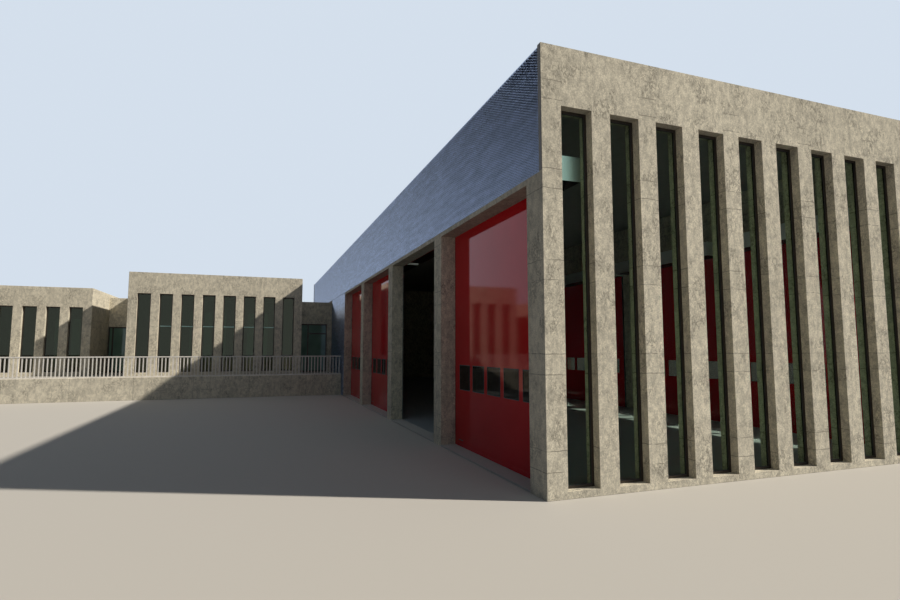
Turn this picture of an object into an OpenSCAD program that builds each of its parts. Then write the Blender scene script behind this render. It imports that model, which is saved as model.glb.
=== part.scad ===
// Fire station: a tall drive-in hall with a finned side, and a low office wing on a terrace.
// The hall's near corner is the reference for every place: the hall runs along -X and +Y from it,
// and the wing and its terrace lie at -Y. The finished model is centred on its footprint.

/* [Hall] */
// Number of structural bays along the door front
hall_bays = 7; // [6:1:7]
// Clear width of one bay between its columns
bay_w = 4860; // [4200:20:4900]
// Width of a bay column along the door front
col_w = 590; // [400:10:600]
// Height of the hall walls above the ground
hall_h = 8000; // [7800:50:9000]
// Thickness of the hall walls
wall_t = 400; // [340:10:500]
// Clear height of the drive-in bays
bay_h = 5540; // [4600:20:5700]
// Thickness of the hall floor
floor_t = 40; // [20:5:100]
// Thickness of the roof slabs
roof_t = 180; // [120:10:250]
// Height of the walls above the roof slabs
upstand = 80; // [20:10:250]

/* [Finned side] */
// Number of tall openings in the finned side
fin_count = 10; // [8:1:12]
// Distance from one tall opening to the next
fin_pitch = 1050; // [900:10:1100]
// Width of a tall opening
fin_gap = 645; // [400:5:750]
// Height of the sill under the tall openings
fin_sill = 120; // [60:10:400]
// Height of the head over the tall openings
fin_head = 6880; // [5600:20:7100]

/* [Windows] */
// Depth of a window frame
frame_d = 60; // [50:5:120]
// Width of a window frame's bars
frame_w = 45; // [30:5:70]
// Distance of the frames behind the outer face
frame_set = 180; // [100:5:180]
// Thickness of the glass
glass_t = 20; // [6:2:30]

/* [Cladding] */
// Thickness of the scaled metal cladding
clad_t = 40; // [20:5:80]
// Concrete edge left bare beside the cladding
clad_edge = 110; // [50:5:200]
// Height of the bare concrete strip over the bays
clad_strip = 110; // [60:5:200]
// Shadow gap under the cladding
clad_gap = 10; // [5:1:20]

/* [Roll-up doors] */
// Thickness of the door sheet
sheet_t = 12; // [6:1:20]
// Clearance of the sheet in its guides
sheet_gap = 5; // [3:1:8]
// Width of a guide beside the bay
guide_w = 60; // [45:5:90]
// Height of the casing over the bay
casing_h = 480; // [440:10:560]
// Depth of the casing into the hall
casing_d = 730; // [560:10:900]
// Thickness of the casing's sheet metal
casing_t = 5; // [3:1:8]
// Height of the casing's underside above the bay head
casing_up = 160; // [120:10:240]
// Radius of the roll when the door is shut
roll_r = 90; // [60:5:120]
// Radius of the roll when the door is open
roll_open_r = 190; // [150:5:200]
// Number of panes in a door
pane_count = 5; // [3:1:5]
// Width of a pane
pane_w = 690; // [400:10:720]
// Distance from one pane to the next
pane_pitch = 880; // [780:10:900]
// Height of a pane
pane_h = 620; // [300:10:800]
// Height of the panes' lower edge above the ground
pane_z = 1485; // [900:5:2000]
// Corner radius of a pane
pane_r = 15; // [10:5:80]

/* [Terrace] */
// Distance from the last bay to the terrace wall's face
terrace_gap = 880; // [500:10:1600]
// Thickness of the terrace wall
terrace_t = 250; // [150:10:350]
// Height of the terrace wall
terrace_h = 1120; // [900:10:1300]
// Height of the terrace and the wing's floor
deck_z = 1100; // [800:10:1110]
// Thickness of the terrace and wing floor slabs
deck_t = 150; // [100:10:250]
// Height of the railing's top
rail_top = 2164; // [1950:10:2400]
// Thickness of the railing's top and bottom rails
rail_t = 60; // [30:5:90]
// Distance from one railing bar to the next
bar_pitch = 168; // [110:2:250]
// Width of a railing bar
bar_w = 50; // [20:2:60]
// Depth of a railing bar
bar_d = 20; // [10:2:40]

/* [Office block] */
// Distance from the terrace wall's face to the office front
terrace_w = 1470; // [1300:10:2300]
// Number of windows in the office front
office_count = 8; // [4:1:8]
// Height of the office walls
office_h = 6600; // [6200:20:7000]
// Height of the office window heads
office_head = 5480; // [4600:20:5800]

/* [Annex] */
// Distance of the annex front behind the office front
annex_back = 2150; // [1050:10:3800]
// Number of windows in the annex front
annex_count = 6; // [3:1:6]
// Height of the annex walls
annex_h = 5860; // [5600:20:6600]
// Height of the annex window heads
annex_head = 4800; // [4000:20:5000]

/* [Wing] */
// Thickness of the wing's walls
wing_t = 300; // [300:10:400]
// Height of the wing's window sills
wing_sill = 1300; // [1200:10:1800]
// Width of the end piers beside the wing's windows
wing_pier = 430; // [330:10:700]

/* [Links] */
// Width of each link between two blocks
link_w = 2095; // [1900:5:2400]
// Distance of the first link's front behind the office front
link_1_back = 3050; // [1850:10:4850]
// Height of the first link
link_1_h = 5520; // [5000:10:5600]
// Height of the first link's glazing head
link_1_head = 4120; // [3700:10:4400]
// Distance of the second link's front behind the annex front
link_2_back = 3700; // [2500:10:4700]
// Height of the second link
link_2_h = 5660; // [5000:10:5800]
// Height of the second link's glazing head
link_2_head = 3880; // [3600:10:4400]
// Width of the wall beside a link's glazing
link_pier = 270; // [150:10:400]
// Distance of the link glazing behind its front
link_set = 100; // [40:10:150]
// Width of the glazing bars in a link
link_bar = 60; // [40:5:90]
// Width of the narrow side light in the first link
side_light = 560; // [300:10:700]
// Width of the narrow side light in the second link
side_slit = 150; // [100:10:400]
// Height of the first link's transom above its floor
transom_up = 2380; // [2000:10:2500]

/* [Hidden] */
$fn = 48;
// The bays that have a door, counted from the corner, and the one that stands open
door_bays = 4;
open_bay = 1;
shut_bays = [0, 2, 3];
// How far a cut runs past the face that it opens
cut = 50;

bay_pitch = bay_w + col_w;
hall_len = hall_bays * bay_pitch + col_w;
doors_len = door_bays * bay_pitch;
hall_d = wall_t + (fin_count - 1) * fin_pitch + fin_gap + wall_t;
clad_low = bay_h + clad_strip;
clad_z = clad_low + clad_gap;

sheet_y = wall_t + sheet_gap + casing_t;
sheet_top = bay_h + casing_up + casing_h / 2;
casing_z = bay_h + casing_up;
slot_w = sheet_t + 2 * sheet_gap;
bottom_bar_h = 90;
bottom_bar_t = 26;
seal_gap = 2;

terrace_x = doors_len + terrace_gap;
terrace_in = terrace_x + terrace_t;
office_x = terrace_x + terrace_w;
annex_x = office_x + annex_back;
link_1_x = office_x + link_1_back;
link_2_x = annex_x + link_2_back;
deck_low = deck_z - deck_t;
office_len = 2 * wing_pier + (office_count - 1) * fin_pitch + fin_gap;
annex_len = 2 * wing_pier + (annex_count - 1) * fin_pitch + fin_gap;
office_right = -link_w;
office_left = office_right - office_len;
annex_right = office_left - link_w;
annex_left = annex_right - annex_len;

// Centre of the whole footprint, which the model's origin stands on
centre_x = -hall_len / 2;
centre_y = (hall_d + annex_left) / 2;

concrete = [0.62, 0.58, 0.51];
concrete_floor = [0.42, 0.44, 0.46];
roof_grey = [0.50, 0.49, 0.47];
clad_blue = [0.45, 0.50, 0.60];
door_red = [0.68, 0.03, 0.04];
frame_grey = [0.16, 0.17, 0.18];
glass_green = [0.12, 0.20, 0.16, 0.6];
rail_white = [0.85, 0.84, 0.82];
casing_white = [0.80, 0.82, 0.83];

// Right-hand edge of a drive-in bay, counted from the corner
function bay_right(k) = -(col_w + k * bay_pitch);
// Near edge of a tall opening in the finned side
function fin_y(i) = wall_t + i * fin_pitch;
// Right-hand edge of a wing window in a block that ends at this right-hand side
function window_right(right, i) = right - wing_pier - i * fin_pitch;

module placed() {
    translate([-centre_x, -centre_y, 0]) children();
}

// A box between two opposite corners
module block(low, high) {
    translate(low) cube(high - low);
}

// The same pieces again at the back of the hall, mirrored about its middle
module rear() {
    translate([0, hall_d, 0]) mirror([0, 1, 0]) children();
}

// Pieces that the door front and the back of the hall both have
module both_fronts() {
    children();
    rear() children();
}

// A ring in the YZ plane, from its outer face back to its inner face
module ring(x_out, depth, y_low, y_high, z_low, z_high, bar) {
    difference() {
        block([x_out - depth, y_low, z_low], [x_out, y_high, z_high]);
        block([x_out - depth - cut, y_low + bar, z_low + bar],
              [x_out + cut, y_high - bar, z_high - bar]);
    }
}

// The glass that fills such a ring
module pane(x_out, depth, y_low, y_high, z_low, z_high, bar) {
    x_mid = x_out - depth / 2;
    block([x_mid - glass_t / 2, y_low + bar, z_low + bar],
          [x_mid + glass_t / 2, y_high - bar, z_high - bar]);
}

module fin_wall() {
    color(concrete) difference() {
        block([-wall_t, wall_t, 0], [0, hall_d - wall_t, hall_h]);
        for (i = [0 : fin_count - 1])
            block([-wall_t - cut, fin_y(i), fin_sill], [cut, fin_y(i) + fin_gap, fin_head]);
    }
}

module fin_frames() {
    color(frame_grey)
        for (i = [0 : fin_count - 1])
            ring(-frame_set, frame_d, fin_y(i), fin_y(i) + fin_gap, fin_sill, fin_head, frame_w);
}

module fin_glass() {
    color(glass_green)
        for (i = [0 : fin_count - 1])
            pane(-frame_set, frame_d, fin_y(i), fin_y(i) + fin_gap, fin_sill, fin_head, frame_w);
}

module corner_column() {
    color(concrete) both_fronts() difference() {
        block([-col_w, 0, 0], [0, wall_t, hall_h]);
        block([-col_w - cut, -cut, clad_low], [-clad_edge, clad_t, hall_h + cut]);
    }
}

module bay_columns() {
    color(concrete) both_fronts()
        for (k = [1 : door_bays - 1])
            block([-k * bay_pitch - col_w, 0, 0], [-k * bay_pitch, wall_t, bay_h]);
}

module door_head_wall() {
    color(concrete) both_fronts() difference() {
        block([-doors_len, 0, bay_h], [-col_w, wall_t, hall_h]);
        block([-doors_len - cut, -cut, clad_low], [-col_w + cut, clad_t, hall_h + cut]);
    }
}

module front_wall() {
    color(concrete) difference() {
        block([-hall_len, 0, 0], [-doors_len, wall_t, hall_h]);
        block([clad_edge - hall_len, -cut, clad_low], [-doors_len + cut, clad_t, hall_h + cut]);
        block([-link_1_x, -cut, -cut], [-doors_len - clad_t, clad_t, clad_low + cut]);
    }
}

module cladding_upper() {
    color(clad_blue) block([clad_edge - hall_len, 0, clad_z], [-clad_edge, clad_t, hall_h]);
}

module cladding_lower() {
    color(clad_blue) block([-link_1_x, 0, 0], [-doors_len - clad_t, clad_t, clad_z]);
}

// The back of the hall beyond its doors, where the cladding reaches down to the ground
module back_wall() {
    color(concrete) rear() difference() {
        block([-hall_len, 0, 0], [-doors_len, wall_t, hall_h]);
        block([clad_edge - hall_len, -cut, clad_low], [-doors_len + cut, clad_t, hall_h + cut]);
        block([clad_edge - hall_len, -cut, -cut], [-doors_len - clad_t, clad_t, clad_low + cut]);
    }
}

module back_cladding() {
    color(clad_blue) rear() union() {
        block([clad_edge - hall_len, 0, clad_z], [-clad_edge, clad_t, hall_h]);
        block([clad_edge - hall_len, 0, 0], [-doors_len - clad_t, clad_t, hall_h]);
    }
}

module end_wall() {
    color(concrete)
        block([-hall_len, wall_t, 0], [wall_t - hall_len, hall_d - wall_t, hall_h]);
}

// A roof slab that lies between its walls, below their tops
module roof_slab(low_x, high_x, low_y, high_y, wall_top) {
    block([low_x, low_y, wall_top - upstand - roof_t], [high_x, high_y, wall_top - upstand]);
}

module hall_roof() {
    color(roof_grey)
        roof_slab(wall_t - hall_len, -wall_t, wall_t, hall_d - wall_t, hall_h);
}

module hall_floor() {
    color(concrete_floor) union() {
        block([wall_t - hall_len, wall_t, 0], [-wall_t, hall_d - wall_t, floor_t]);
        for (k = [0 : door_bays - 1])
            block([bay_right(k) - bay_w, 0, 0], [bay_right(k), hall_d, floor_t]);
    }
}

// The sheet's roll on its shaft, between the casing's end plates
module door_roll(k, radius) {
    translate([bay_right(k) - bay_w - guide_w + casing_t, sheet_y + radius, sheet_top])
        rotate([0, 90, 0])
            cylinder(r = radius, h = bay_w + 2 * guide_w - 2 * casing_t);
}

// The sheet below the roll, with the stiff bar on its lower edge
module door_sheet(k, low_z) {
    edge = guide_w - 2 * sheet_gap;
    bar_in = (bottom_bar_t - sheet_t) / 2;
    block([bay_right(k) - bay_w - edge, sheet_y, low_z],
          [bay_right(k) + edge, sheet_y + sheet_t, sheet_top]);
    block([bay_right(k) - bay_w + sheet_gap, sheet_y - bar_in, low_z],
          [bay_right(k) - sheet_gap, sheet_y + sheet_t + bar_in, low_z + bottom_bar_h]);
}

function pane_left(k, i) =
    bay_right(k) - bay_w / 2 - pane_w / 2 + (i - (pane_count - 1) / 2) * pane_pitch;

// The outline of one door pane, through the sheet
module pane_prism(k, i, y_low, depth) {
    translate([pane_left(k, i), y_low + depth, pane_z])
        rotate([90, 0, 0])
            linear_extrude(height = depth)
                rounded_rect(pane_w, pane_h, pane_r);
}

// A rectangle with round corners, from its lower left corner
module rounded_rect(width, height, radius) {
    translate([radius, 0]) square([width - 2 * radius, height]);
    translate([0, radius]) square([width, height - 2 * radius]);
    for (x = [radius, width - radius], y = [radius, height - radius])
        translate([x, y]) circle(r = radius);
}

module shut_door(k) {
    color(door_red) difference() {
        union() {
            door_sheet(k, floor_t + seal_gap);
            door_roll(k, roll_r);
        }
        for (i = [0 : pane_count - 1])
            pane_prism(k, i, sheet_y - cut, sheet_t + 2 * cut);
    }
}

module door_1() { shut_door(shut_bays[0]); }
module door_3() { shut_door(shut_bays[1]); }
module door_4() { shut_door(shut_bays[2]); }

module door_2_rolled() {
    color(door_red) union() {
        door_sheet(open_bay, bay_h + sheet_gap);
        door_roll(open_bay, roll_open_r);
    }
}

module back_doors() {
    rear()
        for (k = [0 : door_bays - 1])
            shut_door(k);
}

module door_panes() {
    color(glass_green) {
        for (k = shut_bays, i = [0 : pane_count - 1])
            pane_prism(k, i, sheet_y, sheet_t);
        rear()
            for (k = [0 : door_bays - 1], i = [0 : pane_count - 1])
                pane_prism(k, i, sheet_y, sheet_t);
    }
}

// A casing of folded sheet with end plates, open to the wall and slotted for the sheet
module door_casing(k) {
    left = bay_right(k) - bay_w - guide_w;
    right = bay_right(k) + guide_w;
    difference() {
        block([left, wall_t, casing_z], [right, wall_t + casing_d, casing_z + casing_h]);
        block([left + casing_t, wall_t - cut, casing_z + casing_t],
              [right - casing_t, wall_t + casing_d - casing_t, casing_z + casing_h - casing_t]);
        block([left + casing_t, wall_t - cut, casing_z - cut],
              [right - casing_t, wall_t + slot_w + 2 * bottom_bar_t, casing_z + 2 * casing_t]);
    }
}

module door_casings() {
    color(casing_white) both_fronts()
        for (k = [0 : door_bays - 1])
            door_casing(k);
}

// A channel that holds one edge of a door sheet; side is 1 on the right and -1 on the left
module door_guide(edge_x, side) {
    depth = 2 * casing_t + slot_w;
    translate([edge_x, 0, floor_t])
        mirror([side < 0 ? 1 : 0, 0, 0])
            difference() {
                block([0, wall_t, 0], [guide_w, wall_t + depth, casing_z - floor_t]);
                block([-cut, wall_t + casing_t, -cut],
                      [guide_w - casing_t, wall_t + casing_t + slot_w, casing_z]);
            }
}

module door_guides() {
    color(frame_grey) both_fronts()
        for (k = [0 : door_bays - 1]) {
            door_guide(bay_right(k), 1);
            door_guide(bay_right(k) - bay_w, -1);
        }
}

module terrace_wall() {
    color(concrete) union() {
        block([-terrace_in, annex_left, 0], [-terrace_x, 0, terrace_h]);
        block([-annex_x, annex_left, 0], [-terrace_x, annex_left + terrace_t, terrace_h]);
    }
}

// A railing that runs along X for its length, its bars between two rails
module railing(length) {
    bars = floor((length - bar_w) / bar_pitch);
    first = (length - bars * bar_pitch) / 2;
    block([0, -rail_t / 2, terrace_h], [length, rail_t / 2, terrace_h + rail_t]);
    block([0, -rail_t / 2, rail_top - rail_t], [length, rail_t / 2, rail_top]);
    for (i = [0 : bars])
        block([first + i * bar_pitch - bar_w / 2, -bar_d / 2, terrace_h],
              [first + i * bar_pitch + bar_w / 2, bar_d / 2, rail_top - rail_t / 2]);
}

module terrace_railing() {
    line_x = -terrace_x - terrace_t / 2;
    line_y = annex_left + terrace_t / 2;
    color(rail_white) {
        translate([line_x, line_y - rail_t / 2, 0])
            rotate([0, 0, 90])
                railing(-line_y + rail_t / 2);
        translate([-annex_x, line_y, 0])
            railing(annex_x + line_x - rail_t);
    }
}

module terrace_floor() {
    color(concrete_floor) union() {
        block([-office_x, annex_left + terrace_t, deck_low], [-terrace_in, 0, deck_z]);
        block([-annex_x, annex_left + terrace_t, deck_low],
              [-office_x + cut, annex_right + cut, deck_z]);
        block([-link_2_x, annex_right, deck_low], [-office_x + cut, office_left, deck_z]);
        block([-link_1_x, office_right, deck_low], [-office_x + cut, 0, deck_z]);
    }
}

// A wing wall in the YZ plane with a row of tall windows cut through it
module window_wall(face_x, right, length, count, wall_top, head) {
    difference() {
        block([face_x - wing_t, right - length, 0], [face_x, right, wall_top]);
        for (i = [0 : count - 1])
            block([face_x - wing_t - cut, window_right(right, i) - fin_gap, wing_sill],
                  [face_x + cut, window_right(right, i), head]);
    }
}

// The frames of such a row; face_x is the outer face and depth runs inwards from it
module window_frames(frame_x, right, count, head) {
    for (i = [0 : count - 1])
        ring(frame_x, frame_d, window_right(right, i) - fin_gap, window_right(right, i),
             wing_sill, head, frame_w);
}

module window_panes(frame_x, right, count, head) {
    for (i = [0 : count - 1])
        pane(frame_x, frame_d, window_right(right, i) - fin_gap, window_right(right, i),
             wing_sill, head, frame_w);
}

module side_walls(face_x, right, length, wall_top) {
    for (y = [right - length, right - wing_t])
        block([wing_t - hall_len, y, 0], [-face_x - wing_t, y + wing_t, wall_top]);
}

module office_front_wall() {
    color(concrete)
        window_wall(-office_x, office_right, office_len, office_count, office_h, office_head);
}

module office_back_wall() {
    color(concrete)
        window_wall(wing_t - hall_len, office_right, office_len, office_count,
                    office_h, office_head);
}

module office_side_walls() {
    color(concrete) side_walls(office_x, office_right, office_len, office_h);
}

module office_roof() {
    color(roof_grey)
        roof_slab(wing_t - hall_len, -office_x - wing_t,
                  office_left + wing_t, office_right - wing_t, office_h);
}

module office_frames() {
    color(frame_grey)
        window_frames(-office_x - frame_set, office_right, office_count, office_head);
}

module office_glass() {
    color(glass_green)
        window_panes(-office_x - frame_set, office_right, office_count, office_head);
}

module annex_front_wall() {
    color(concrete)
        window_wall(-annex_x, annex_right, annex_len, annex_count, annex_h, annex_head);
}

module annex_back_wall() {
    color(concrete)
        window_wall(wing_t - hall_len, annex_right, annex_len, annex_count,
                    annex_h, annex_head);
}

module annex_side_walls() {
    color(concrete) side_walls(annex_x, annex_right, annex_len, annex_h);
}

module annex_roof() {
    color(roof_grey)
        roof_slab(wing_t - hall_len, -annex_x - wing_t,
                  annex_left + wing_t, annex_right - wing_t, annex_h);
}

module annex_frames() {
    color(frame_grey)
        window_frames(-annex_x - frame_set, annex_right, annex_count, annex_head);
}

module annex_glass() {
    color(glass_green)
        window_panes(-annex_x - frame_set, annex_right, annex_count, annex_head);
}

// The back windows repeat the front ones, set in from the wing's back face
module back_frames() {
    frame_x = frame_set + frame_d - hall_len;
    color(frame_grey) {
        window_frames(frame_x, office_right, office_count, office_head);
        window_frames(frame_x, annex_right, annex_count, annex_head);
    }
}

module back_glass() {
    frame_x = frame_set + frame_d - hall_len;
    color(glass_green) {
        window_panes(frame_x, office_right, office_count, office_head);
        window_panes(frame_x, annex_right, annex_count, annex_head);
    }
}

// The front of a link: wall over and beside the glazing, and down to the ground below it
module link_front(face_x, low_y, high_y, glass_low, glass_high, wall_top, head) {
    difference() {
        block([-face_x - wing_t, low_y, 0], [-face_x, high_y, wall_top]);
        block([-face_x - wing_t - cut, glass_low, deck_z], [-face_x + cut, glass_high, head]);
    }
}

module link_front_walls() {
    color(concrete) {
        link_front(link_1_x, office_right, 0, office_right, -link_pier, link_1_h, link_1_head);
        link_front(link_2_x, annex_right, office_left, annex_right, office_left - link_pier,
                   link_2_h, link_2_head);
    }
}

// Glazing of the first link: a side light, a wide pane and a light over them both
module link_1_bars() {
    face = -link_1_x - link_set;
    mullion = office_right + link_bar + side_light;
    ring(face, frame_d, office_right, -link_pier, deck_z, link_1_head, link_bar);
    block([face - frame_d, mullion, deck_z + link_bar / 2],
          [face, mullion + link_bar, link_1_head - link_bar / 2]);
    block([face - frame_d, mullion + link_bar / 2, deck_z + transom_up],
          [face, -link_pier - link_bar / 2, deck_z + transom_up + link_bar]);
}

module link_2_bars() {
    face = -link_2_x - link_set;
    mullion = annex_right + link_bar + side_slit;
    ring(face, frame_d, annex_right, office_left - link_pier, deck_z, link_2_head, link_bar);
    block([face - frame_d, mullion, deck_z + link_bar / 2],
          [face, mullion + link_bar, link_2_head - link_bar / 2]);
}

module link_screens() {
    color(frame_grey) {
        union() link_1_bars();
        union() link_2_bars();
    }
}

// A pane between two heights and two sides, in the middle of the glazing bars
module link_pane(face_x, low_y, high_y, low_z, high_z) {
    x_mid = -face_x - link_set - frame_d / 2;
    block([x_mid - glass_t / 2, low_y, low_z], [x_mid + glass_t / 2, high_y, high_z]);
}

module link_glass() {
    mullion_1 = office_right + link_bar + side_light;
    mullion_2 = annex_right + link_bar + side_slit;
    low_z = deck_z + link_bar;
    color(glass_green) {
        link_pane(link_1_x, office_right + link_bar, mullion_1, low_z, link_1_head - link_bar);
        link_pane(link_1_x, mullion_1 + link_bar, -link_pier - link_bar,
                  low_z, deck_z + transom_up);
        link_pane(link_1_x, mullion_1 + link_bar, -link_pier - link_bar,
                  deck_z + transom_up + link_bar, link_1_head - link_bar);
        link_pane(link_2_x, annex_right + link_bar, mullion_2, low_z, link_2_head - link_bar);
        link_pane(link_2_x, mullion_2 + link_bar, office_left - link_pier - link_bar,
                  low_z, link_2_head - link_bar);
    }
}

module link_roofs() {
    color(roof_grey) {
        roof_slab(wing_t - hall_len, -link_1_x - wing_t, office_right, 0, link_1_h);
        roof_slab(wing_t - hall_len, -link_2_x - wing_t, annex_right, office_left, link_2_h);
    }
}

module link_back_walls() {
    color(concrete) {
        block([-hall_len, office_right, 0], [wing_t - hall_len, 0, link_1_h]);
        block([-hall_len, annex_right, 0], [wing_t - hall_len, office_left, link_2_h]);
    }
}

// The floor slab of one room, between its walls
module room_floor(face_x, low_y, high_y) {
    block([wing_t - hall_len, low_y, deck_low], [-face_x - wing_t, high_y, deck_z]);
}

module wing_floors() {
    color(concrete_floor) {
        room_floor(office_x, office_left + wing_t, office_right - wing_t);
        room_floor(annex_x, annex_left + wing_t, annex_right - wing_t);
        room_floor(link_1_x, office_right, 0);
        room_floor(link_2_x, annex_right, office_left);
    }
}

placed() fin_wall();
placed() fin_frames();
placed() fin_glass();
placed() corner_column();
placed() bay_columns();
placed() door_head_wall();
placed() front_wall();
placed() cladding_upper();
placed() cladding_lower();
placed() back_wall();
placed() back_cladding();
placed() end_wall();
placed() hall_roof();
placed() hall_floor();
placed() door_1();
placed() door_2_rolled();
placed() door_3();
placed() door_4();
placed() back_doors();
placed() door_panes();
placed() door_casings();
placed() door_guides();
placed() terrace_wall();
placed() terrace_railing();
placed() terrace_floor();
placed() office_front_wall();
placed() office_side_walls();
placed() office_back_wall();
placed() office_roof();
placed() office_frames();
placed() office_glass();
placed() annex_front_wall();
placed() annex_side_walls();
placed() annex_back_wall();
placed() annex_roof();
placed() annex_frames();
placed() annex_glass();
placed() back_frames();
placed() back_glass();
placed() link_front_walls();
placed() link_screens();
placed() link_glass();
placed() link_roofs();
placed() link_back_walls();
placed() wing_floors();
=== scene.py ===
import math

import bpy
import numpy as np
from mathutils import Matrix, Vector


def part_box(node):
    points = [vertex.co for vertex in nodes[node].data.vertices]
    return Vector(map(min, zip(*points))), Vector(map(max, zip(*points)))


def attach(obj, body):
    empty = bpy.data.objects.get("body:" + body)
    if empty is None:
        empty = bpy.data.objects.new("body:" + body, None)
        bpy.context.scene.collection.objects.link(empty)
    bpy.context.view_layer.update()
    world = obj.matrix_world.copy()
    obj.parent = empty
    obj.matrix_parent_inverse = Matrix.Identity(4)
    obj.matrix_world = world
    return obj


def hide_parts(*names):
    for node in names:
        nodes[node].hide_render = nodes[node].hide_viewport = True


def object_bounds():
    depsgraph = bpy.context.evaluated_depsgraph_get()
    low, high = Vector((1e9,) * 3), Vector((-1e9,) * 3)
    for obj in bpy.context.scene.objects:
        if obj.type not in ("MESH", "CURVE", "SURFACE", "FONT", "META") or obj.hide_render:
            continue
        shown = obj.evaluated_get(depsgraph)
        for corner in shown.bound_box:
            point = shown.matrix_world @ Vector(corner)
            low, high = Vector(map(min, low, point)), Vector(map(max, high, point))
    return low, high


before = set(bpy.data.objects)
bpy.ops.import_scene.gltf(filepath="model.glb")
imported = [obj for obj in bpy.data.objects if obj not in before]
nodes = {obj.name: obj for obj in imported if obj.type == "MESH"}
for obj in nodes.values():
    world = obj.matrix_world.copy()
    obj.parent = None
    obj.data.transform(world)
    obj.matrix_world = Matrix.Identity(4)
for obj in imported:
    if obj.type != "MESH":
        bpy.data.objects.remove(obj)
cad_low, cad_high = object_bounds()
hall_corner = Vector((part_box("corner_column")[1].x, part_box("corner_column")[0].y, 0))


# Camera: it stands in front of the hall's near corner at 2.5 m, with the finned side on its
# right and the door front running away on its left.
camera_from_corner = Vector((8.114, -4.657, 2.514))
camera_tilt = 95.22
camera_turn = 70.10
camera_data = bpy.data.cameras.new("camera")
camera_data.lens = 21.6
camera_data.sensor_width = 36
camera = bpy.data.objects.new("camera", camera_data)
camera.location = hall_corner + camera_from_corner
camera.rotation_euler = (math.radians(camera_tilt), 0, math.radians(camera_turn))
bpy.context.scene.collection.objects.link(camera)
bpy.context.scene.camera = camera


# Studio: a plain pale floor, a key lamp from behind the finned side that leaves the door front
# in shade, and a wide fill lamp on the finned side, both without glare on shiny sheet. The pale
# background only shows, and a faint room light comes from all round.
floor_drop = 0.004
floor_size = 240
floor_colour = (0.54, 0.51, 0.46, 1)
floor_bounce_colour = (0.275, 0.275, 0.285, 1)
background_colour = (0.66, 0.74, 0.84, 1)
room_light_colour = (0.66, 0.80, 1.0, 1)
room_light = 0.095
key_towards = (-4.6, -10, -8)
key_strength = 4.9
key_spread = 1.2
key_colour = (1.0, 0.945, 0.86)
fill_towards = (-10, -1, -6)
fill_strength = 0.19
fill_spread = 40
fill_colour = (0.92, 0.97, 1.0)


def add_node(tree, kind, inputs=None, **settings):
    """A shader node; an input given as a socket is linked, and any other is set."""
    made = tree.nodes.new(kind)
    for name, value in settings.items():
        setattr(made, name, value)
    for name, value in (inputs or {}).items():
        if isinstance(value, bpy.types.NodeSocket):
            tree.links.new(value, made.inputs[name])
        else:
            made.inputs[name].default_value = value
    return made


def math_node(tree, operation, *values):
    """One step of arithmetic on sockets or numbers."""
    inputs = dict(enumerate(values))
    return add_node(tree, "ShaderNodeMath", inputs, operation=operation).outputs[0]


def blend_colour(tree, share, first, second, mode="MIX"):
    """The first colour where the share is 0, and the second one where it is 1."""
    made = add_node(
        tree, "ShaderNodeMix", {0: share, 6: first, 7: second}, data_type="RGBA", blend_type=mode
    )
    return made.outputs[2]


def new_material(name, **inputs):
    """A material with one Principled shader, its inputs set; it gives the tree and the shader."""
    material = bpy.data.materials.new(name)
    material.use_nodes = True
    tree = material.node_tree
    shader = tree.nodes["Principled BSDF"]
    for key, value in inputs.items():
        shader.inputs[key.replace("_", " ")].default_value = value
    return material, tree, shader


def add_sun(name, towards, strength, spread, colour):
    """A far lamp, its spread in degrees, that leaves no glare."""
    lamp = bpy.data.lights.new(name, "SUN")
    lamp.energy = strength
    lamp.angle = math.radians(spread)
    lamp.color = colour
    sun = bpy.data.objects.new(name, lamp)
    sun.rotation_euler = Vector(towards).to_track_quat("-Z", "Y").to_euler()
    sun.visible_glossy = False
    bpy.context.scene.collection.objects.link(sun)


def shown_rays(tree):
    """1 on camera rays, also by way of a mirror or a pane, and 0 past a matt surface."""
    path = add_node(tree, "ShaderNodeLightPath").outputs
    mirrored = math_node(tree, "MAXIMUM", path["Is Camera Ray"], path["Is Glossy Ray"])
    shown = math_node(tree, "MAXIMUM", mirrored, path["Is Transmission Ray"])
    direct = math_node(tree, "LESS_THAN", path["Diffuse Depth"], 0.5)
    return math_node(tree, "MULTIPLY", shown, direct)


add_sun("key_lamp", key_towards, key_strength, key_spread, key_colour)
add_sun("fill_lamp", fill_towards, fill_strength, fill_spread, fill_colour)

bpy.ops.object.select_all(action="DESELECT")
bpy.ops.mesh.primitive_plane_add(size=floor_size, location=(0, 0, -floor_drop))
studio_floor = bpy.context.active_object
studio_floor.name = "studio_floor"
floor_material, floor_tree, floor_shader = new_material("studio_floor", Roughness=0.9)
floor_tree.links.new(
    blend_colour(floor_tree, shown_rays(floor_tree), floor_bounce_colour, floor_colour),
    floor_shader.inputs["Base Color"],
)
studio_floor.data.materials.append(floor_material)

world = bpy.data.worlds.new("studio")
world.use_nodes = True
bpy.context.scene.world = world
world_tree = world.node_tree
world_tree.nodes.clear()
room = add_node(
    world_tree, "ShaderNodeBackground", {"Color": room_light_colour, "Strength": room_light}
)
backdrop = add_node(
    world_tree, "ShaderNodeBackground", {"Color": background_colour, "Strength": 1.0}
)
chosen = add_node(
    world_tree, "ShaderNodeMixShader",
    {0: shown_rays(world_tree), 1: room.outputs[0], 2: backdrop.outputs[0]},
)
add_node(world_tree, "ShaderNodeOutputWorld", {"Surface": chosen.outputs[0]})
bpy.context.scene.view_settings.view_transform = "Standard"


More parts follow.
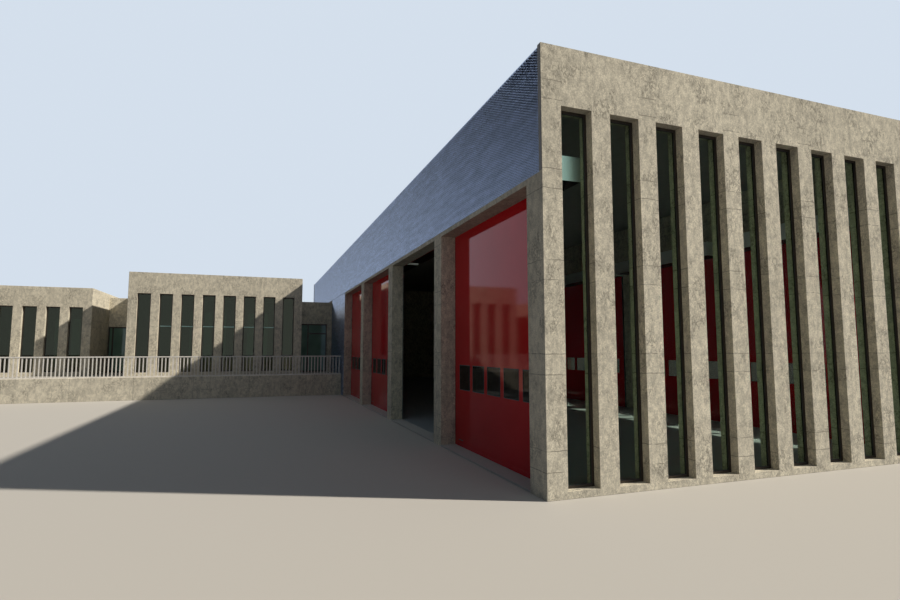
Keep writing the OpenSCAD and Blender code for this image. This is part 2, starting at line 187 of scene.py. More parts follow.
# Concrete: walls and columns cast in panels, warm grey, mottled, with fine veins, pits and
# speckle, rain streaks, and pairs of course joints on every second pier and in the reveals.
panel_pitch = 2.1
joint_strip = 0.42
course_pitch = 1.63
lower_course = 0.465
upper_course = 0.82
joint_half = 0.005
course_wobble = 0.03
seam_pitch = 2.7
seam_start = 0.5
arris = 0.012
merge_gap = 0.0001
flat_within = math.radians(1)


def new_group(name, inputs, outputs):
    """A node group with named sockets; it gives the tree, its input node and its output node."""
    tree = bpy.data.node_groups.new(name, "ShaderNodeTree")
    for socket, kind, value in inputs:
        made = tree.interface.new_socket(socket, in_out="INPUT", socket_type=kind)
        if value is not None:
            made.default_value = value
    for socket, kind in outputs:
        tree.interface.new_socket(socket, in_out="OUTPUT", socket_type=kind)
    return tree, tree.nodes.new("NodeGroupInput"), tree.nodes.new("NodeGroupOutput")


def put_group(tree, group, inputs):
    """A group placed in a material, with its own values."""
    return add_node(tree, "ShaderNodeGroup", inputs, node_tree=group)


def remap(tree, value, low, high, to_low=0.0, to_high=1.0):
    """Carries a value from one range to another, and holds it at the ends."""
    made = add_node(
        tree, "ShaderNodeMapRange",
        {"Value": value, "From Min": low, "From Max": high, "To Min": to_low, "To Max": to_high},
    )
    return made.outputs["Result"]


def noise(tree, vector, scale, detail=2.0, roughness=0.5, swirl=0.0):
    """Noise from 0 to 1, finer with a larger scale."""
    made = add_node(
        tree, "ShaderNodeTexNoise",
        {"Vector": vector, "Scale": scale, "Detail": detail, "Roughness": roughness,
         "Distortion": swirl},
    )
    return made.outputs["Fac"]


def stretched(tree, vector, scale):
    """A place with each of its parts scaled on its own."""
    made = add_node(tree, "ShaderNodeMapping", {"Vector": vector, "Scale": scale})
    return made.outputs["Vector"]


# Blotches and speckle of a cast or ground mineral surface, used by concrete and floors
mineral, mineral_in, mineral_out = new_group(
    "mineral_surface",
    [("Vector", "NodeSocketVector", None), ("Blotch Size", "NodeSocketFloat", 1.0),
     ("Fall", "NodeSocketFloat", 0.5), ("Speckle Size", "NodeSocketFloat", 1.0)],
    [("Blotches", "NodeSocketFloat"), ("Clouds", "NodeSocketFloat"),
     ("Speckle", "NodeSocketFloat"), ("Pores", "NodeSocketFloat"), ("Veins", "NodeSocketFloat"),
     ("Pits", "NodeSocketFloat")],
)
fall_scale = add_node(
    mineral, "ShaderNodeCombineXYZ", {"X": 1.0, "Y": 1.0, "Z": mineral_in.outputs["Fall"]}
)
fallen = add_node(
    mineral, "ShaderNodeVectorMath",
    {0: mineral_in.outputs["Vector"], 1: fall_scale.outputs[0]}, operation="MULTIPLY",
).outputs[0]
sized = add_node(
    mineral, "ShaderNodeVectorMath",
    {0: fallen, "Scale": mineral_in.outputs["Blotch Size"]}, operation="SCALE",
).outputs[0]
mineral.links.new(noise(mineral, sized, 8.0, 6.0, 0.66, 0.3), mineral_out.inputs["Blotches"])
mineral.links.new(noise(mineral, sized, 0.55, 3.0, 0.5), mineral_out.inputs["Clouds"])
grit = add_node(
    mineral, "ShaderNodeVectorMath",
    {0: mineral_in.outputs["Vector"], "Scale": mineral_in.outputs["Speckle Size"]},
    operation="SCALE",
).outputs[0]
mineral.links.new(noise(mineral, grit, 42.0, 4.0, 0.7), mineral_out.inputs["Speckle"])
pore_cells = add_node(mineral, "ShaderNodeTexVoronoi", {"Vector": grit, "Scale": 9.0})
mineral.links.new(remap(mineral, pore_cells.outputs["Distance"], 0.05, 0.13, 1.0, 0.0),
                  mineral_out.inputs["Pores"])


def near(tree, value, centre, half_width, soft):
    """1 where the value lies within half a width of the centre, falling to 0 past it."""
    away = math_node(tree, "ABSOLUTE", math_node(tree, "SUBTRACT", value, centre))
    return remap(tree, away, half_width, half_width + soft, 1.0, 0.0)


# Veins run where a noise crosses its middle value, in patches; pits gather in the same patches
vein_patches = remap(mineral, noise(mineral, grit, 1.8, 4.0, 0.6), 0.46, 0.60)
vein_lines = near(mineral, noise(mineral, sized, 9.0, 5.0, 0.62, 0.2), 0.5, 0.010, 0.035)
mineral.links.new(math_node(mineral, "MULTIPLY", vein_lines, vein_patches),
                  mineral_out.inputs["Veins"])
pit_spots = remap(mineral, noise(mineral, grit, 15.0, 3.0, 0.6), 0.60, 0.70)
mineral.links.new(math_node(mineral, "MULTIPLY", pit_spots, vein_patches),
                  mineral_out.inputs["Pits"])


# Joints of the casting panels: pairs of courses in upright strips and wherever the face looks
# along Y, as in a reveal, and upright seams
joints, joints_in, joints_out = new_group(
    "panel_joints",
    [("Vector", "NodeSocketVector", None), ("Facing", "NodeSocketVector", None),
     ("Corner", "NodeSocketVector", None), ("Seams", "NodeSocketFloat", 0.0)],
    [("Line", "NodeSocketFloat"), ("Panel", "NodeSocketFloat")],
)
from_corner = add_node(
    joints, "ShaderNodeVectorMath",
    {0: joints_in.outputs["Vector"], 1: joints_in.outputs["Corner"]}, operation="SUBTRACT",
).outputs[0]
place = add_node(joints, "ShaderNodeSeparateXYZ", {0: from_corner})
along = math_node(joints, "ADD", math_node(joints, "ABSOLUTE", place.outputs["X"]),
                  math_node(joints, "ABSOLUTE", place.outputs["Y"]))
across = math_node(joints, "WRAP", along, panel_pitch, 0.0)
in_strip = near(joints, across, joint_strip / 2, joint_strip / 2, 0.01)
facing = add_node(joints, "ShaderNodeSeparateXYZ", {0: joints_in.outputs["Facing"]})
in_reveal = remap(joints, math_node(joints, "ABSOLUTE", facing.outputs["Y"]), 0.6, 0.8)
in_strip = math_node(joints, "MAXIMUM", in_strip, in_reveal)
wobble = noise(joints, joints_in.outputs["Vector"], 5.0, 2.0)
height = math_node(joints, "ADD", place.outputs["Z"],
                   math_node(joints, "MULTIPLY", wobble, course_wobble))
course = math_node(joints, "WRAP", height, course_pitch, 0.0)
pair = math_node(joints, "MAXIMUM", near(joints, course, lower_course, joint_half, joint_half),
                 near(joints, course, upper_course, joint_half, joint_half))
worn = remap(joints, noise(joints, joints_in.outputs["Vector"], 6.0, 3.0), 0.36, 0.50, 0.15, 1.0)
line = math_node(joints, "MULTIPLY", math_node(joints, "MULTIPLY", pair, in_strip), worn)
seam_place = math_node(joints, "WRAP", along, seam_pitch, 0.0)
seam = math_node(joints, "MULTIPLY", near(joints, seam_place, seam_start, joint_half, joint_half),
                 joints_in.outputs["Seams"])
joints.links.new(math_node(joints, "MAXIMUM", line, seam), joints_out.inputs["Line"])
between = near(joints, course, (lower_course + upper_course) / 2,
               (upper_course - lower_course) / 2, joint_half)
joints.links.new(math_node(joints, "MULTIPLY", between, in_strip), joints_out.inputs["Panel"])


# Faces that look down, where the materials paint shade
undersides, undersides_in, undersides_out = new_group(
    "undersides", [("Facing", "NodeSocketVector", None)], [("Mask", "NodeSocketFloat")]
)
facing_down = add_node(
    undersides, "ShaderNodeSeparateXYZ", {0: undersides_in.outputs["Facing"]}
).outputs["Z"]
undersides.links.new(remap(undersides, facing_down, -0.8, -0.3, 1.0, 0.0),
                     undersides_out.inputs["Mask"])


def underside_mask(tree, place):
    """1 on faces that look down, where painted shade goes, from a texture coordinate node."""
    return put_group(tree, undersides, {"Facing": place.outputs["Normal"]}).outputs["Mask"]


def concrete_material(name, pale, dark, stain_and_shade, seams):
    """Cast concrete, with painted shade on faces that look down; seams is 1 where upright joints
    part the panels, or else 0.
    """
    material, tree, shader = new_material(name, Roughness=0.85)
    texture_spot = add_node(tree, "ShaderNodeTexCoord")
    spot = texture_spot.outputs["Object"]
    surface = put_group(
        tree, mineral, {"Vector": spot, "Blotch Size": 1.0, "Fall": 0.6, "Speckle Size": 1.0}
    )
    panels = put_group(tree, joints, {"Vector": spot, "Facing": texture_spot.outputs["Normal"],
                                      "Corner": tuple(hall_corner), "Seams": seams})
    blotches = remap(tree, surface.outputs["Blotches"], 0.34, 0.60)
    colour = blend_colour(tree, blotches, dark, pale)
    clouds = remap(tree, surface.outputs["Clouds"], 0.42, 0.72, 0.0, 0.15)
    colour = blend_colour(tree, clouds, colour, stain_and_shade)
    streak_noise = noise(tree, stretched(tree, spot, (5.0, 5.0, 0.6)), 1.0, 5.0, 0.62)
    colour = blend_colour(tree, remap(tree, streak_noise, 0.58, 0.78, 0.0, 0.26), colour, stain_and_shade)
    speckle = remap(tree, surface.outputs["Speckle"], 0.32, 0.68, 0.66, 1.22)
    grain = add_node(tree, "ShaderNodeCombineXYZ", {"X": speckle, "Y": speckle, "Z": speckle})
    colour = blend_colour(tree, 1.0, colour, grain.outputs[0], "MULTIPLY")
    colour = blend_colour(
        tree, math_node(tree, "MULTIPLY", panels.outputs["Panel"], 0.12), colour, dark
    )
    veins = math_node(tree, "MULTIPLY", surface.outputs["Veins"], 0.62)
    pits = math_node(tree, "MULTIPLY", surface.outputs["Pits"], 0.66)
    pores = math_node(tree, "MULTIPLY", surface.outputs["Pores"], 0.55)
    lines = math_node(tree, "MULTIPLY", panels.outputs["Line"], 0.70)
    marks = math_node(tree, "MAXIMUM", math_node(tree, "MAXIMUM", veins, pits),
                      math_node(tree, "MAXIMUM", pores, lines))
    colour = blend_colour(tree, marks, colour, stain_and_shade)
    # Painted shade: faces that look down are blended towards the stain colour
    shade_below = math_node(tree, "MULTIPLY", underside_mask(tree, texture_spot), 0.45)
    colour = blend_colour(tree, shade_below, colour, stain_and_shade)
    tree.links.new(colour, shader.inputs["Base Color"])
    height = math_node(tree, "ADD", math_node(tree, "MULTIPLY", surface.outputs["Speckle"], 0.40),
                       math_node(tree, "MULTIPLY", surface.outputs["Blotches"], 0.20))
    height = math_node(tree, "SUBTRACT", height, math_node(tree, "MULTIPLY", marks, 0.6))
    bump = add_node(
        tree, "ShaderNodeBump", {"Height": height, "Strength": 0.5, "Distance": 0.005}
    )
    tree.links.new(bump.outputs[0], shader.inputs["Normal"])
    return material


def dress(names, material):
    """Gives these nodes of the frame one material."""
    for name in names:
        for slot in nodes[name].material_slots:
            slot.material = material


def merged_copy(node_name):
    """A loose copy of a node, its triangles merged; it is left selected and active."""
    part = nodes[node_name].copy()
    part.data = nodes[node_name].data.copy()
    part.parent = None
    for key in [key for key in part.keys() if key.startswith("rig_")]:
        del part[key]
    bpy.context.scene.collection.objects.link(part)
    bpy.ops.object.select_all(action="DESELECT")
    bpy.context.view_layer.objects.active = part
    part.select_set(True)
    bpy.ops.object.mode_set(mode="EDIT")
    bpy.ops.mesh.select_all(action="SELECT")
    bpy.ops.mesh.remove_doubles(threshold=merge_gap)
    bpy.ops.object.mode_set(mode="OBJECT")
    return part


def finish(piece, material):
    """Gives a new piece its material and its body."""
    piece.data.materials.clear()
    piece.data.materials.append(material)
    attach(piece, "root")


def cast(name, replaced, material):
    """The concrete of one block, poured as a whole: its solids are fused and its edges eased."""
    parts = [merged_copy(node_name) for node_name in replaced]
    block = parts[0]
    block.name = name
    bpy.context.view_layer.objects.active = block
    for part in parts[1:]:
        fuse = block.modifiers.new("fuse", "BOOLEAN")
        fuse.operation = "UNION"
        fuse.solver = "EXACT"
        fuse.object = part
        bpy.ops.object.modifier_apply(modifier=fuse.name)
        bpy.data.objects.remove(part)
    bpy.ops.object.select_all(action="DESELECT")
    block.select_set(True)
    bpy.ops.object.mode_set(mode="EDIT")
    bpy.ops.mesh.select_mode(type="EDGE")
    bpy.ops.mesh.select_all(action="SELECT")
    bpy.ops.mesh.remove_doubles(threshold=merge_gap)
    bpy.ops.mesh.dissolve_limited(angle_limit=flat_within)
    bpy.ops.mesh.select_all(action="DESELECT")
    bpy.ops.object.mode_set(mode="OBJECT")
    outer_edges = convex_edges(block.data)
    for edge in block.data.edges:
        edge.select = edge.index in outer_edges
    bpy.ops.object.mode_set(mode="EDIT")
    bpy.ops.mesh.bevel(offset=arris, segments=2, affect="EDGES", clamp_overlap=True)
    bpy.ops.object.mode_set(mode="OBJECT")
    finish(block, material)
    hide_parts(*replaced)


def convex_edges(mesh):
    """The edges that stand out between two faces, apart from those on the ground."""
    beside = {}
    for face in mesh.polygons:
        for key in face.edge_keys:
            beside.setdefault(key, []).append(face)
    found = set()
    for edge in mesh.edges:
        faces = beside.get(tuple(sorted(edge.vertices)), [])
        ends = [mesh.vertices[i].co for i in edge.vertices]
        if len(faces) != 2 or max(end.z for end in ends) < arris:
            continue
        first, second = faces
        turned = first.normal.dot(second.normal) < 0.5
        if turned and first.normal.dot(second.center - first.center) < 0:
            found.add(edge.index)
    return found


concrete_pale = (0.78, 0.71, 0.555, 1)
concrete_dark = (0.50, 0.458, 0.364, 1)
# The stain colour also serves as painted shade on faces that look down
concrete_stain_and_shade = (0.14, 0.125, 0.10, 1)
wall_concrete = concrete_material(
    "wall_concrete", concrete_pale, concrete_dark, concrete_stain_and_shade, seams=0.0
)
terrace_concrete = concrete_material(
    "terrace_concrete", concrete_pale, concrete_dark, concrete_stain_and_shade, seams=1.0
)
cast("hall_concrete", ["fin_wall", "corner_column", "door_head_wall", "bay_columns", "front_wall",
                       "back_wall", "end_wall"], wall_concrete)
cast("office_concrete", ["office_front_wall", "office_side_walls", "office_back_wall"],
     wall_concrete)
cast("annex_concrete", ["annex_front_wall", "annex_side_walls", "annex_back_wall"], wall_concrete)
cast("link_concrete", ["link_front_walls", "link_back_walls"], wall_concrete)
cast("terrace_concrete", ["terrace_wall"], terrace_concrete)


# Cladding: small blue-grey metal scales, shaped as lozenges and hung in staggered rows on a
# backing sheet. The lower tip of each stands proud, and is pressed a little differently.
scale_w = 0.104
scale_h = 0.0524
lip = 0.032
scale_verts = 4
most_pressed = 0.35
same_spot = 0.001
backing_edge = 0.002
backing_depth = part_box("cladding_upper")[1].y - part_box("cladding_upper")[0].y
scale_dark = (0.20, 0.25, 0.39, 1)
scale_pale = (0.62, 0.74, 1.0, 1)
# The last two are painted shade: under the row above, and on the undersides
scale_lap_shade = (0.03, 0.034, 0.045, 1)
scale_underside_shade = (0.012, 0.013, 0.016, 1)


def start_cube(name, low, high):
    """A box between two corners, with its place in its mesh."""
    bpy.ops.object.select_all(action="DESELECT")
    bpy.ops.mesh.primitive_cube_add(size=1, location=(low + high) / 2, scale=high - low)
    piece = bpy.context.active_object
    piece.name = name
    bpy.ops.object.transform_apply(location=True, rotation=False, scale=True)
    return piece


def select_only(piece, keep):
    """Leaves the piece in vertex edit mode with the vertices selected that pass a test."""
    bpy.context.view_layer.objects.active = piece
    bpy.ops.object.mode_set(mode="EDIT")
    bpy.ops.mesh.select_mode(type="VERT")
    bpy.ops.mesh.select_all(action="DESELECT")
    bpy.ops.object.mode_set(mode="OBJECT")
    for vertex in piece.data.vertices:
        vertex.select = keep(vertex.co)
    bpy.ops.object.mode_set(mode="EDIT")


def ease_edges(piece, width, segments=2):
    """Rounds every edge of a piece."""
    bpy.context.view_layer.objects.active = piece
    bpy.ops.object.mode_set(mode="EDIT")
    bpy.ops.mesh.select_all(action="SELECT")
    bpy.ops.mesh.bevel(offset=width, segments=segments, affect="EDGES")
    bpy.ops.object.mode_set(mode="OBJECT")


def apply_array(piece, offset, count):
    """Repeats a piece at one step, all in its own mesh."""
    array = piece.modifiers.new("row", "ARRAY")
    array.use_relative_offset = False
    array.use_constant_offset = True
    array.constant_offset_displace = offset
    array.count = count
    bpy.context.view_layer.objects.active = piece
    bpy.ops.object.modifier_apply(modifier=array.name)


def join(pieces, name):
    """Makes one piece of several, under a new name."""
    bpy.ops.object.select_all(action="DESELECT")
    for piece in pieces:
        piece.select_set(True)
    bpy.context.view_layer.objects.active = pieces[0]
    bpy.ops.object.join()
    pieces[0].name = name
    return pieces[0]


def scale_row(low, columns, outward):
    """A row of scales on its lower left corner; outward is 1 or -1 along Y."""
    back = low.y - outward * lip
    middle_x = low.x + scale_w / 2
    middle_z = low.z + scale_h / 2
    bpy.ops.object.select_all(action="DESELECT")
    bpy.ops.mesh.primitive_cone_add(vertices=3, radius1=1, radius2=0, depth=1)
    scale = bpy.context.active_object
    for index, corner in enumerate((
        (low.x, back, middle_z), (low.x + scale_w, back, middle_z),
        (middle_x, back, low.z + scale_h), (middle_x, low.y, low.z),
    )):
        start = scale.data.vertices[index].co.copy()
        select_only(scale, lambda co: (co - start).length < same_spot)
        bpy.ops.transform.translate(value=Vector(corner) - start)
        bpy.ops.object.mode_set(mode="OBJECT")
    bpy.ops.object.mode_set(mode="EDIT")
    bpy.ops.mesh.select_all(action="SELECT")
    bpy.ops.mesh.normals_make_consistent(inside=False)
    bpy.ops.object.mode_set(mode="OBJECT")
    apply_array(scale, (scale_w, 0, 0), columns)
    return scale


def scale_field(name, low_x, high_x, low_z, high_z, face, outward, seed):
    """Staggered rows of scales grown to fill a field, their tips on its face."""
    columns = round((high_x - low_x) / scale_w)
    rows = round((high_z - low_z) / scale_h)
    straight = scale_row(Vector((low_x, face, low_z)), columns, outward)
    shifted = scale_row(
        Vector((low_x + scale_w / 2, face, low_z + scale_h / 2)), columns - 1, outward
    )
    apply_array(straight, (0, 0, scale_h), rows)
    apply_array(shifted, (0, 0, scale_h), rows - 1)
    field = join([straight, shifted], name)

    chance = np.random.default_rng(seed)
    mesh = field.data
    spots = np.empty(len(mesh.vertices) * 3, np.float32)
    mesh.vertices.foreach_get("co", spots)
    spots = spots.reshape(-1, 3)
    scales = len(spots) // scale_verts
    grow_x = (high_x - low_x) / (columns * scale_w)
    grow_z = (high_z - low_z) / (rows * scale_h)
    spots[:, 0] = low_x + (spots[:, 0] - low_x) * grow_x
    spots[:, 2] = low_z + (spots[:, 2] - low_z) * grow_z
    # Painted shade under the row above: 1 at the upper tip of each scale
    middle_z = np.repeat(spots[:, 2].reshape(-1, scale_verts).mean(axis=1), scale_verts)
    lap_shade_mark = mesh.attributes.new("lap_shade_mark", "FLOAT", "POINT")
    lap_shade_mark.data.foreach_set("value", (spots[:, 2] > middle_z + scale_h / 4).astype(np.float32))
    pressed = np.repeat(chance.uniform(0, most_pressed, scales), scale_verts)
    proud = np.abs(spots[:, 1] - face) < same_spot
    spots[:, 1] -= outward * lip * pressed * proud
    mesh.vertices.foreach_set("co", spots.ravel())
    tones = np.repeat(chance.random(scales), scale_verts).astype(np.float32)
    mesh.attributes.new("scale_tone", "FLOAT", "POINT").data.foreach_set("value", tones)
    mesh.update()
    return field


# Scales differ in tone one by one and in patches, and carry painted shade at their upper tips,
# under the row above, and on their undersides
cladding, cladding_tree, cladding_shader = new_material(
    "cladding_scales", Metallic=0.75, Roughness=0.28
)
tone = add_node(cladding_tree, "ShaderNodeAttribute", attribute_name="scale_tone").outputs["Fac"]
lap_shade = add_node(cladding_tree, "ShaderNodeAttribute", attribute_name="lap_shade_mark").outputs["Fac"]
cladding_spot = add_node(cladding_tree, "ShaderNodeTexCoord")
patches = noise(
    cladding_tree, stretched(cladding_tree, cladding_spot.outputs["Object"], (2.6, 2.6, 7.0)),
    1.0, 4.0, 0.7,
)
dashes = noise(
    cladding_tree, stretched(cladding_tree, cladding_spot.outputs["Object"], (0.9, 0.9, 9.0)),
    1.0, 1.0, 0.5,
)
tone_share = math_node(
    cladding_tree, "ADD", remap(cladding_tree, tone, 0.0, 1.0, 0.20, 0.50),
    math_node(cladding_tree, "ADD", remap(cladding_tree, patches, 0.36, 0.64, 0.0, 0.18),
              remap(cladding_tree, dashes, 0.36, 0.64, 0.0, 0.26)),
)
scale_colour = blend_colour(cladding_tree, tone_share, scale_dark, scale_pale)
# Painted shade at the upper tip of each scale
scale_colour = blend_colour(
    cladding_tree, remap(cladding_tree, lap_shade, 0.2, 0.45, 0.0, 0.72), scale_colour, scale_lap_shade
)
# Painted shade on faces that look down
cladding_tree.links.new(
    blend_colour(cladding_tree, underside_mask(cladding_tree, cladding_spot), scale_colour,
                 scale_underside_shade),
    cladding_shader.inputs["Base Color"],
)


def clad(name, low, high, outward, replaced, seed):
    """The scales and the backing sheet of one field, from corner to corner of its CAD solid."""
    face = low.y if outward < 0 else high.y
    scales = scale_field(name + "_scales", low.x, high.x, low.z, high.z, face, outward, seed)
    back = face - outward * backing_depth
    front = face - outward * lip
    backing = start_cube(name + "_backing", Vector((low.x, min(back, front), low.z)),
                         Vector((high.x, max(back, front), high.z)))
    ease_edges(backing, backing_edge)
    for piece in (scales, backing):
        finish(piece, cladding)
    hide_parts(*replaced)


upper_low, upper_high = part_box("cladding_upper")
lower_low, lower_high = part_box("cladding_lower")
back_low, back_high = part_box("back_cladding")
clad("cladding_upper", upper_low, upper_high, -1, ["cladding_upper"], seed=11)
clad("cladding_lower", lower_low, lower_high, -1, ["cladding_lower"], seed=12)
clad("back_cladding_upper", Vector((back_low.x, back_low.y, upper_low.z)), back_high, 1,
     ["back_cladding"], seed=13)
back_doors_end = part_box("back_wall")[1].x - backing_depth
clad("back_cladding_lower", back_low, Vector((back_doors_end, back_high.y, upper_low.z)), 1,
     [], seed=14)


# Window frames and glass: dark bronze frames set back in the reveals, with green tinted panes
# in black rubber gaskets, a satin transom across six office windows, and bronze trims that
# close the ends of the cladding.
mottle, mottle_in, mottle_out = new_group(
    "mottle",
    [("Vector", "NodeSocketVector", None), ("Size", "NodeSocketFloat", 1.0),
     ("Detail", "NodeSocketFloat", 2.0), ("Low", "NodeSocketFloat", 0.3),
     ("High", "NodeSocketFloat", 0.7), ("First", "NodeSocketColor", None),
     ("Second", "NodeSocketColor", None)],
    [("Colour", "NodeSocketColor")],
)
mottle_noise = noise(mottle, mottle_in.outputs["Vector"], mottle_in.outputs["Size"],
                     mottle_in.outputs["Detail"])
mottle_share = remap(mottle, mottle_noise, mottle_in.outputs["Low"], mottle_in.outputs["High"])
mottle.links.new(
    blend_colour(mottle, mottle_share, mottle_in.outputs["First"], mottle_in.outputs["Second"]),
    mottle_out.inputs["Colour"],
)


def mottled(tree, place, first, second, size, detail, low=0.0, high=1.0):
    """A colour that wanders between two."""
    values = {"Vector": place.outputs["Object"], "Size": size, "Detail": detail, "Low": low,
              "High": high, "First": first, "Second": second}
    return put_group(tree, mottle, values).outputs["Colour"]


def mottled_material(name, first, second, size, detail, low=0.0, high=1.0, **inputs):
    """A material in such a colour; it gives the tree, the shader and the place too."""
    material, tree, shader = new_material(name, **inputs)
    place = add_node(tree, "ShaderNodeTexCoord")
    colour = mottled(tree, place, first, second, size, detail, low, high)
    tree.links.new(colour, shader.inputs["Base Color"])
    return material, tree, shader, place


frame_material, frame_tree, frame_shader, frame_place = mottled_material(
    "bronze_frame", (0.040, 0.032, 0.026, 1), (0.065, 0.052, 0.040, 1),
    size=3.0, detail=5.0, low=0.3, high=0.7, Metallic=0.6,
)
frame_wear = noise(frame_tree, frame_place.outputs["Object"], 60.0, 3.0)
frame_tree.links.new(remap(frame_tree, frame_wear, 0.3, 0.7, 0.35, 0.5),
                     frame_shader.inputs["Roughness"])
dress(["fin_frames", "office_frames", "annex_frames", "back_frames", "link_screens"],
      frame_material)


def glass_material(name, tint, shadow_tint, index, mirror_tint=(1, 1, 1, 1)):
    """Clear glass that lets lamps through, tinted by its colour."""
    material, tree, shader = new_material(
        name, Base_Color=tint, Roughness=0.0, IOR=index, Transmission_Weight=1.0,
        Specular_Tint=mirror_tint,
    )
    through = add_node(tree, "ShaderNodeBsdfTransparent", {"Color": shadow_tint})
    shadow = add_node(tree, "ShaderNodeLightPath").outputs["Is Shadow Ray"]
    mixed = add_node(
        tree, "ShaderNodeMixShader", {0: shadow, 1: shader.outputs[0], 2: through.outputs[0]}
    )
    tree.links.new(mixed.outputs[0], tree.nodes["Material Output"].inputs["Surface"])
    return material


hall_glass = glass_material(
    "hall_glass", (0.78, 0.93, 0.83, 1), shadow_tint=(0.74, 0.93, 0.81, 1), index=1.07
)
dress(["fin_glass"], hall_glass)
wing_glass = glass_material(
    "wing_glass", (0.05, 0.085, 0.055, 1), shadow_tint=(0.35, 0.50, 0.40, 1), index=1.54,
    mirror_tint=(1.0, 1.0, 0.72, 1),
)
dress(["office_glass", "annex_glass", "back_glass"], wing_glass)

# The link panes are lined with a milky green film
film = mottled_material(
    "link_film_glass", (0.20, 0.36, 0.28, 1), (0.30, 0.50, 0.39, 1),
    size=0.9, detail=2.0, low=0.35, high=0.65, Roughness=0.05, IOR=1.5, Transmission_Weight=0.45,
)[0]
dress(["link_glass"], film)

same_size = 0.0005
gasket_w = 0.012
gasket_d = 0.006


def solids(node_name):
    """The corners of each separate solid of a node."""
    merged_copy(node_name)
    bpy.ops.object.mode_set(mode="EDIT")
    bpy.ops.mesh.separate(type="LOOSE")
    bpy.ops.object.mode_set(mode="OBJECT")
    corners = []
    for part in list(bpy.context.selected_objects):
        spots = [vertex.co for vertex in part.data.vertices]
        corners.append((Vector([min(spot[i] for spot in spots) for i in range(3)]),
                        Vector([max(spot[i] for spot in spots) for i in range(3)])))
        bpy.data.objects.remove(part)
    return sorted(corners, key=lambda pair: tuple(pair[0]))


def copy_moved(piece, shift):
    """A copy with a mesh of its own, moved by a shift."""
    copy = piece.copy()
    copy.data = piece.data.copy()
    copy.data.transform(Matrix.Translation(shift))
    bpy.context.scene.collection.objects.link(copy)
    return copy


def edging(low, high, axis, side, width, depth):
    """A ring along the edge of a box, standing out from one of its faces."""
    face = high[axis] if side > 0 else low[axis]
    ring_low = low.copy()
    ring_high = high.copy()
    ring_low[axis] = min(face, face + side * depth)
    ring_high[axis] = max(face, face + side * depth)
    ring = start_cube("ring", ring_low, ring_high)
    bpy.ops.object.mode_set(mode="EDIT")
    bpy.ops.mesh.select_mode(type="FACE")
    bpy.ops.mesh.select_all(action="DESELECT")
    bpy.ops.object.mode_set(mode="OBJECT")
    for side_face in ring.data.polygons:
        side_face.select = abs(side_face.normal[axis]) > 0.9
    bpy.ops.object.mode_set(mode="EDIT")
    bpy.ops.mesh.inset(thickness=width)
    bpy.ops.mesh.bridge_edge_loops()
    bpy.ops.mesh.select_all(action="SELECT")
    bpy.ops.mesh.normals_make_consistent(inside=False)
    bpy.ops.object.mode_set(mode="OBJECT")
    return ring


def edge_all(name, boxes, axis, side, width, depth, material):
    """Such rings on a row of boxes, modelled once for each size."""
    made = []
    for low, high in boxes:
        size = high - low
        like = [entry for entry in made if (entry[1] - size).length < same_size]
        if like:
            ring = copy_moved(like[0][0], low - like[0][2])
        else:
            ring = edging(low, high, axis, side, width, depth)
        made.append((ring, size, low))
    piece = join([entry[0] for entry in made], name)
    finish(piece, material)
    return piece


rubber = mottled_material(
    "gasket_rubber", (0.010, 0.010, 0.010, 1), (0.030, 0.030, 0.029, 1),
    size=14.0, detail=3.0, Roughness=0.7,
)[0]
for glass_name in ("fin_glass", "office_glass", "annex_glass", "link_glass"):
    edge_all(glass_name + "_gaskets", solids(glass_name), 0, 1, gasket_w, gasket_d, rubber)
edge_all("back_glass_gaskets", solids("back_glass"), 0, -1, gasket_w, gasket_d, rubber)

transom_z = 3.75
transom_h = 0.045
transom_d = 0.03
transom_edge = 0.004
satin = mottled_material(
    "satin_transom", (0.15, 0.22, 0.19, 1), (0.20, 0.29, 0.25, 1),
    size=6.0, detail=4.0, Metallic=0.8, Roughness=0.3,
)[0]
office_panes = solids("office_glass")
first_low, first_high = office_panes[1]
transom = start_cube("transom", Vector((first_high.x, first_low.y, transom_z - transom_h / 2)),
                     Vector((first_high.x + transom_d, first_high.y, transom_z + transom_h / 2)))
ease_edges(transom, transom_edge)
transoms = [transom] + [copy_moved(transom, pane[0] - first_low) for pane in office_panes[2:7]]
finish(join(transoms, "office_transoms"), satin)

trim_t = 0.004
trim_inset = 0.014
trim_edge = 0.001
trims = []
for field, outward in (("cladding_upper", -1), ("back_cladding", 1)):
    field_low, field_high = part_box(field)
    face = field_low.y if outward < 0 else field_high.y
    for end_x, wall_x in ((field_high.x, cad_high.x - trim_inset),
                          (field_low.x, cad_low.x + trim_inset)):
        trims.append(start_cube(
            "trim", Vector((min(end_x, wall_x), face - trim_t, upper_low.z)),
            Vector((max(end_x, wall_x), face + trim_t, field_high.z - trim_inset))))
trim_piece = join(trims, "cladding_end_trims")
ease_edges(trim_piece, trim_edge, segments=1)
finish(trim_piece, frame_material)


# Roll-up doors: smooth glossy red sheets, the second one rolled up. Each shut one has a row of
# panes in rubber gaskets, and those in front have two black slots low on their left.
door_red = mottled_material(
    "red_door_sheet", (0.62, 0.007, 0.012, 1), (0.70, 0.010, 0.018, 1),
    size=0.7, detail=4.0, low=0.35, high=0.65, Roughness=0.06, IOR=1.31, Metallic=0.05,
)[0]
dress(["door_1", "door_2_rolled", "door_3", "door_4", "back_doors"], door_red)
pane_material = glass_material(
    "door_pane", (0.06, 0.06, 0.06, 1), shadow_tint=(1.0, 1.0, 0.95, 1), index=1.2
)
dress(["door_panes"], pane_material)

